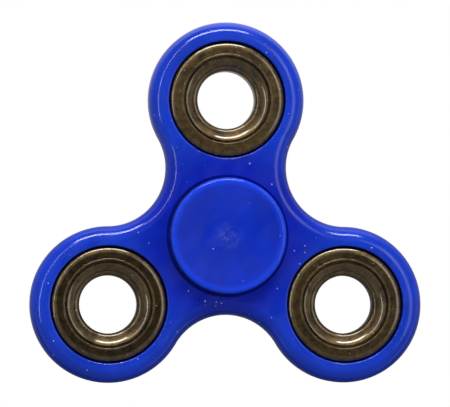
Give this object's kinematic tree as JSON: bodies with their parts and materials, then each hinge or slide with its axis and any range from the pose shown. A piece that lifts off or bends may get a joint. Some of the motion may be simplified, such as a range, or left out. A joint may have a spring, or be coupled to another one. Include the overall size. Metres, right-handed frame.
{
  "type": "fidget spinner",
  "caption": "Lobed hand spinner: moulded frame with ring weights that turns on a ball bearing between dished finger caps.",
  "frame": {"origin": "centre of the ball bearing, on the spin axis and midway between the two caps", "axes": "+Z along the spin axis to the front cap; +Y from the spin axis through the first lobe; +X to the right"},
  "size_m": [0.074, 0.0679, 0.0128],
  "materials": {
    "blue_plastic": "glossy moulded ABS",
    "gunmetal": "dark oiled gunmetal, turned",
    "bearing_steel": "ground bearing steel",
    "ball_steel": "polished",
    "pressed_steel": "pressed sheet"
  },
  "bodies": {
    "hub": {"front_cap": "blue_plastic", "back_cap": "blue_plastic", "bearing_inner_ring": "bearing_steel"},
    "frame": {"frame_body": "blue_plastic", "lobe_weight_1": "gunmetal", "lobe_weight_2": "gunmetal", "lobe_weight_3": "gunmetal", "bearing_outer_ring": "bearing_steel", "front_shield": "pressed_steel", "back_shield": "pressed_steel"},
    "cage": {"cage_front_half": "pressed_steel", "cage_back_half": "pressed_steel", "cage_rivets": "pressed_steel"},
    "ball_1": {"bearing_ball_1": "ball_steel"},
    "ball_2": {"bearing_ball_2": "ball_steel"},
    "ball_3": {"bearing_ball_3": "ball_steel"},
    "ball_4": {"bearing_ball_4": "ball_steel"},
    "ball_5": {"bearing_ball_5": "ball_steel"},
    "ball_6": {"bearing_ball_6": "ball_steel"},
    "ball_7": {"bearing_ball_7": "ball_steel"}
  },
  "joints": [
    {"name": "frame_spin", "type": "hinge", "parent": "hub", "child": "frame", "pos_m": [0, 0, 0], "axis": [0, 0, 1], "continuous": true},
    {"name": "cage_orbit", "type": "hinge", "parent": "hub", "child": "cage", "pos_m": [0, 0, 0], "axis": [0, 0, 1], "continuous": true},
    {"name": "ball_roll_1", "type": "hinge", "parent": "cage", "child": "ball_1", "pos_m": [0, 0.0075, 0], "axis": [0, 0, 1], "continuous": true},
    {"name": "ball_roll_2", "type": "hinge", "parent": "cage", "child": "ball_2", "pos_m": [-0.00586, 0.00468, 0], "axis": [0, 0, 1], "continuous": true},
    {"name": "ball_roll_3", "type": "hinge", "parent": "cage", "child": "ball_3", "pos_m": [-0.00731, -0.00167, 0], "axis": [0, 0, 1], "continuous": true},
    {"name": "ball_roll_4", "type": "hinge", "parent": "cage", "child": "ball_4", "pos_m": [-0.00325, -0.00676, 0], "axis": [0, 0, 1], "continuous": true},
    {"name": "ball_roll_5", "type": "hinge", "parent": "cage", "child": "ball_5", "pos_m": [0.00325, -0.00676, 0], "axis": [0, 0, 1], "continuous": true},
    {"name": "ball_roll_6", "type": "hinge", "parent": "cage", "child": "ball_6", "pos_m": [0.00731, -0.00167, 0], "axis": [0, 0, 1], "continuous": true},
    {"name": "ball_roll_7", "type": "hinge", "parent": "cage", "child": "ball_7", "pos_m": [0.00586, 0.00468, 0], "axis": [0, 0, 1], "continuous": true}
  ],
  "couplings": [
    {"joint": "cage_orbit", "follows": "frame_spin", "ratio": 0.6323},
    {"joint": "ball_roll_1", "follows": "frame_spin", "ratio": 1.7573},
    {"joint": "ball_roll_2", "follows": "frame_spin", "ratio": 1.7573},
    {"joint": "ball_roll_3", "follows": "frame_spin", "ratio": 1.7573},
    {"joint": "ball_roll_4", "follows": "frame_spin", "ratio": 1.7573},
    {"joint": "ball_roll_5", "follows": "frame_spin", "ratio": 1.7573},
    {"joint": "ball_roll_6", "follows": "frame_spin", "ratio": 1.7573},
    {"joint": "ball_roll_7", "follows": "frame_spin", "ratio": 1.7573}
  ]
}
